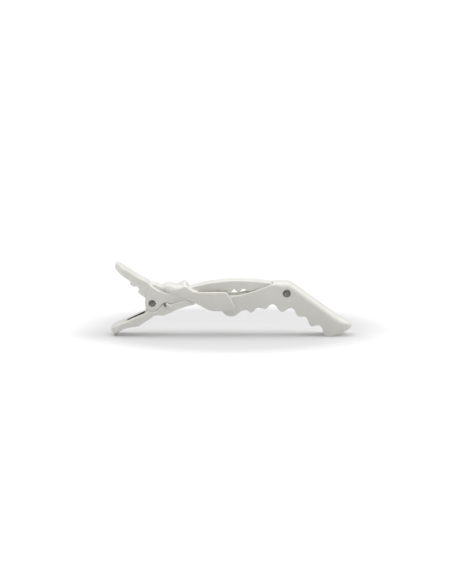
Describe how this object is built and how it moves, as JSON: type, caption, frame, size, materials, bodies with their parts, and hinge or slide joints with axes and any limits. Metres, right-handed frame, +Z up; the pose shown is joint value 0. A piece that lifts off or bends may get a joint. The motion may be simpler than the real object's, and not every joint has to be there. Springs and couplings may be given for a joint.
{
  "type": "sectioning clip",
  "caption": "Double-hinged crocodile hair sectioning clip with spring-closed toothed jaws, a rocking snout and thumb and finger handles.",
  "frame": {"origin": "bottom centre of the closed clip's bounding box, on the surface it stands on", "axes": "+X from the handles to the nose, +Y across the clip, +Z up"},
  "size_m": [0.1159, 0.0184, 0.0349],
  "materials": {
    "white_plastic": "satin moulded white plastic",
    "dark_steel": "dark steel"
  },
  "bodies": {
    "lower_body": {"lower_lever": "white_plastic", "main_pivot_pin": "dark_steel", "torsion_spring": "dark_steel"},
    "upper_body": {"upper_lever": "white_plastic", "front_pivot_pin": "dark_steel"},
    "snout_body": {"snout_jaw": "white_plastic"}
  },
  "joints": [
    {"name": "main_hinge", "type": "hinge", "parent": "lower_body", "child": "upper_body", "pos_m": [-0.0379, 0, 0.016], "axis": [0, -1, 0], "range_deg": [0, 65], "stiffness_Nm_per_rad": 0.042, "springref_deg": -85.94, "deforming": ["torsion_spring"]},
    {"name": "snout_hinge", "type": "hinge", "parent": "upper_body", "child": "snout_body", "pos_m": [0.0264, 0, 0.0206], "axis": [0, 1, 0], "range_deg": [0, 8]}
  ]
}
